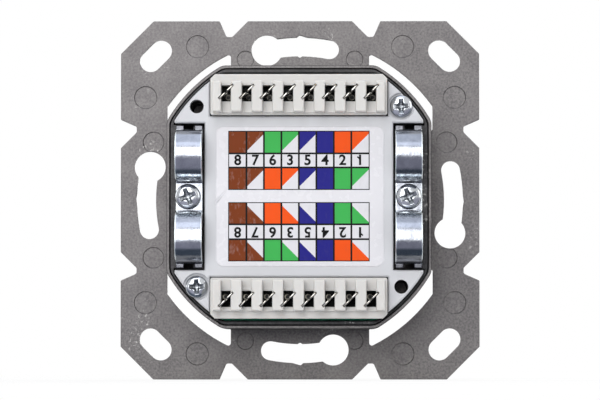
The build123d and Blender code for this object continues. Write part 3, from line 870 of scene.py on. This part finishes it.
def makeScrew(size):
    skirt = skirtShare * size["height"]
    bpy.ops.mesh.primitive_cylinder_add(vertices=48, radius=size["radius"] * mm, depth=skirt * mm,
                                        location=(0, skirt / 2 * mm, 0), rotation=(-math.pi / 2, 0, 0))
    made = settle(bpy.context.object, size["name"])
    pick(made, lambda middle, normal: normal.y > 0.9)
    before = (1, skirt)
    for share, rise in headCurve:
        up = rise * size["height"] - before[1]
        bpy.ops.mesh.extrude_region_move(TRANSFORM_OT_translate={"value": (0, up * mm, 0)})
        bpy.ops.transform.resize(value=(share / before[0], 1, share / before[0]), center_override=(0, 0, 0))
        before = (share, rise * size["height"])
    backToObject()
    pick(made, lambda middle, normal: normal.y < -0.9)
    bpy.ops.mesh.inset(thickness=(size["radius"] - recess["shank"]) * mm)
    bpy.ops.mesh.extrude_region_move(TRANSFORM_OT_translate={"value": (0, -size["length"] * mm, 0)})
    backToObject()
    reach = 2 * recess["reach"] * size["radius"]
    deep = recess["depth"] + recess["over"]
    middle = (0, 0, size["height"] + recess["over"] - deep / 2)
    cutter = taper(cuboid(middle, (reach, recess["arm"], deep), size["turn"]), recess["narrow"])
    for other in ((recess["arm"], reach, deep), (recess["core"], recess["core"], deep + recess["over"])):
        turn = size["turn"] + (45 if other[0] == recess["core"] else 0)
        combine(cutter, taper(cuboid(middle, other, turn), recess["narrow"]), "UNION")
    subtract(made, cutter)
    roundSharp(made, lambda middle, along: middle.y > 0.1 and along.length > 0.12, recess["edge"], 2, 30)
    evenShading(made, 45)
    made.data.materials.clear()
    made.data.materials.append(screwSteel)
    made.data.materials.append(recessShadeSteel)
    shape = [(1, skirt / size["height"])] + headCurve
    # the faces inside the cross recess take the darker steel: painted shade
    for face in made.data.polygons:
        away = fromAxis(face) / mm / size["radius"]
        skin = max((rise for share, rise in shape if share >= away), default=1.0) * size["height"]
        face.material_index = int(away < recess["within"] and 0 < face.center.y / mm < skin - recess["skin"])
    return made


for size in (clampScrew, coverScrew):
    pattern = makeScrew(size)
    for node, (u, v) in size["places"].items():
        made = copyOf(pattern, size["name"] + node.split("_")[-1].title(), place(u, v, size["seat"]))
        dress(made, None, "screw_steel", node)
    bpy.data.objects.remove(pattern)
print("screws made")


# Wiring label: a rounded film with two printed tables

film = {"width": 32.4, "height": 27.0, "shift": 0.2, "low": 17.0, "thick": 0.12, "corner": 1.5, "edge": 0.22,
        "edgeDrop": 0.8, "fold": (-15.1, -0.3), "foldEnd": (-13.7, 1.2), "foldHalf": 0.35, "ridge": 0.26,
        "foldAcross": (0.73, 0, 0.68), "foldAlong": (-0.68, 0, 0.73)}
grid = {"columns": 8, "column": 3.35, "line": 0.175, "frame": 0.3, "lift": 0.012, "thick": 0.01, "near": 1.8}
brownGreenFirst = ["brown", "brown/", "green", "green/", "blue/", "blue", "orange", "orange/"]
brownOrangeFirst = ["brown", "brown/", "orange", "orange/", "blue/", "blue", "green", "green/"]
tables = {  # levels of the lines from top to bottom, then what stands between them
    "upperTable": ([12.45, 8.25, 5.55, 1.4], [brownGreenFirst, None, brownOrangeFirst]),
    "lowerTable": ([-1.25, -5.35, -8.2, -12.3], [brownOrangeFirst, None, brownGreenFirst]),
}
digits = {"row": "87635421", "height": 1.75, "capShare": 0.64, "lift": 0.014, "wider": 0.02, "round": 0.055,
          "thick": 0.004, "weld": 0.004, "flag": (0.62, 0.28, 0.05), "flagTurn": -42,
          "flagShift": (0.3, 0.52)}
printLevel = film["low"] + film["thick"]


def flatPiece(name, middle, wide, tall):  # one face towards the back
    bpy.ops.mesh.primitive_plane_add(size=mm, location=place(*middle), rotation=backTurn)
    made = bpy.context.object
    made.scale = (wide, tall, 1)
    return settle(made, name)


def cutAcross(point, normal):  # in edit mode, splits every face that the plane meets
    bpy.ops.mesh.select_all(action="SELECT")
    bpy.ops.mesh.bisect(plane_co=point, plane_no=normal)


def columnPlace(column):
    return (column - (grid["columns"] - 1) / 2) * grid["column"]


def makeFilm():
    made = flatPiece("labelFilm", (film["shift"], 0, printLevel), film["width"], film["height"])
    pick(made, lambda middle, normal: True, "VERT")
    bpy.ops.mesh.bevel(offset=film["corner"] * mm, segments=8, affect="VERTICES")
    bpy.ops.mesh.select_all(action="SELECT")
    bpy.ops.mesh.inset(thickness=film["edge"] * mm)
    backToObject()
    rim = (film["width"] / 2 - film["edge"] / 2, film["height"] / 2 - film["edge"] / 2)
    outside = lambda at, normal: (abs(-at.x / mm - film["shift"]) > rim[0] or abs(at.z / mm) > rim[1]
                                  or cornerReach(at) > film["corner"] - film["edge"] / 2)
    pick(made, outside, "VERT")
    bpy.ops.transform.translate(value=(0, -film["edgeDrop"] * film["thick"] * mm, 0))
    across, along = Vector(film["foldAcross"]), Vector(film["foldAlong"])
    for step in (-film["foldHalf"], 0, film["foldHalf"]):  # the faint fold that runs down to the left edge
        cutAcross(place(*film["fold"], printLevel) + step * mm * across, across)
    cutAcross(place(*film["foldEnd"], printLevel), along)
    backToObject()
    onFold = lambda at, normal: (abs((at - place(*film["fold"], 0)).dot(across)) < 0.02 * mm
                                 and (at - place(*film["foldEnd"], 0)).dot(along) < -0.1 * mm)
    pick(made, onFold, "VERT")
    bpy.ops.transform.translate(value=(0, film["ridge"] * mm, 0))
    backToObject()
    return made


def cornerReach(at):  # how far a point lies from the centre of its rounded corner, if it is in one
    u = abs(-at.x / mm - film["shift"]) - (film["width"] / 2 - film["corner"])
    v = abs(at.z / mm) - (film["height"] / 2 - film["corner"])
    return math.hypot(u, v) if u > 0 and v > 0 else 0


def makeTable(name, levels, rows):
    middle, tall = (levels[0] + levels[3]) / 2, levels[0] - levels[3]
    made = flatPiece(name, (0, middle, printLevel + grid["lift"]),
                     grid["columns"] * grid["column"] + grid["frame"], tall + grid["frame"])
    pick(made, lambda centre, normal: True)
    for column in range(1, grid["columns"]):
        cutAcross(place((column - grid["columns"] / 2) * grid["column"], 0, 0), (1, 0, 0))
    for level in levels[1:3]:
        cutAcross(place(0, level, 0), (0, 0, 1))
    bpy.ops.mesh.select_all(action="SELECT")
    bpy.ops.mesh.inset(thickness=grid["line"] * mm, use_individual=True)
    backToObject()
    for ink in inks.values():
        made.data.materials.append(ink)
    order = list(inks)
    flip = 1 if middle > 0 else -1  # the lower table's slanted fields lean the other way
    for face in made.data.polygons:
        face.material_index = order.index("black")
    for row, colours in enumerate(rows):
        v = (levels[row] + levels[row + 1]) / 2
        half = (levels[row] - levels[row + 1]) / 2 - grid["line"]
        wide = grid["column"] / 2 - grid["line"]
        for column in range(grid["columns"]):
            u = columnPlace(column)
            colour = colours[column] if colours else "white"
            inside = lambda centre, normal: (abs(-centre.x / mm - u) < wide and abs(centre.z / mm - v) < half
                                             and abs(centre.x / mm + u) + abs(centre.z / mm - v)
                                             < grid["near"])
            pick(made, inside)
            if colour.endswith("/"):
                bpy.ops.mesh.bisect(plane_co=place(u, v, 0), plane_no=Vector((half * flip, 0, wide)))
            backToObject()
            for face in made.data.polygons:
                if inside(face.center, face.normal):
                    slant = (face.center.z / mm - v) * wide * flip - (-face.center.x / mm - u) * half
                    white = colour.endswith("/") and (slant < 0)
                    face.material_index = order.index("white" if white else colour.strip("/"))
    applyModifier(made, "SOLIDIFY", thickness=grid["thick"] * mm, offset=-1)
    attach(made, "root")


labelFilm = makeFilm()
applyModifier(labelFilm, "SOLIDIFY", thickness=film["thick"] * mm, offset=-1)
dress(labelFilm, filmPet, "label_film", "wiring_label")
for name, (levels, rows) in tables.items():
    makeTable(name, levels, rows)


def makeDigits(name, v, turned):
    made = []
    way = -1 if turned else 1
    level = printLevel + digits["lift"]
    for column, figure in enumerate(digits["row"]):
        u = columnPlace(column)
        bpy.ops.object.text_add(location=place(u, v, level), rotation=backTurnOver if turned else backTurn)
        text = bpy.context.object
        text.data.body = figure
        text.data.size = digits["height"] * mm / digits["capShare"]
        text.data.align_x, text.data.align_y = "CENTER", "CENTER"
        text.data.offset = digits["wider"] * mm
        text.data.bevel_depth = digits["round"] * mm
        text.data.bevel_resolution = 0
        text.data.extrude = digits["thick"] * mm
        makeActive(text)
        bpy.ops.object.convert(target="MESH")
        made.append(bpy.context.object)
        if figure == "1":  # its flag is longer than the font's
            aside, up = digits["flagShift"]
            made.append(cuboid((u - way * aside, v + way * up, level), digits["flag"], digits["flagTurn"]))
    made = joinPieces(made, name)
    weldAll(made, digits["weld"])
    bpy.ops.mesh.dissolve_degenerate(threshold=digits["weld"] * mm)
    bpy.ops.mesh.normals_make_consistent(inside=False)
    backToObject()
    makeActive(made)
    bpy.ops.object.shade_smooth_by_angle(angle=math.radians(30))
    dress(made, inks["black"], "label_film")


makeDigits("upperDigits", 6.9, False)
makeDigits("lowerDigits", -6.78, True)
print("label made")


# Materials of the nodes that stay as they are

keptNodes = {
    "circuit_board": boardMask, "jack_shield_": tinplate, "jack_body_": jackPbt, "jack_contact_": gold,
}
for name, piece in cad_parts.items():
    for start, material in keptNodes.items():
        if name.startswith(start):
            piece.data.materials.clear()
            piece.data.materials.append(material)
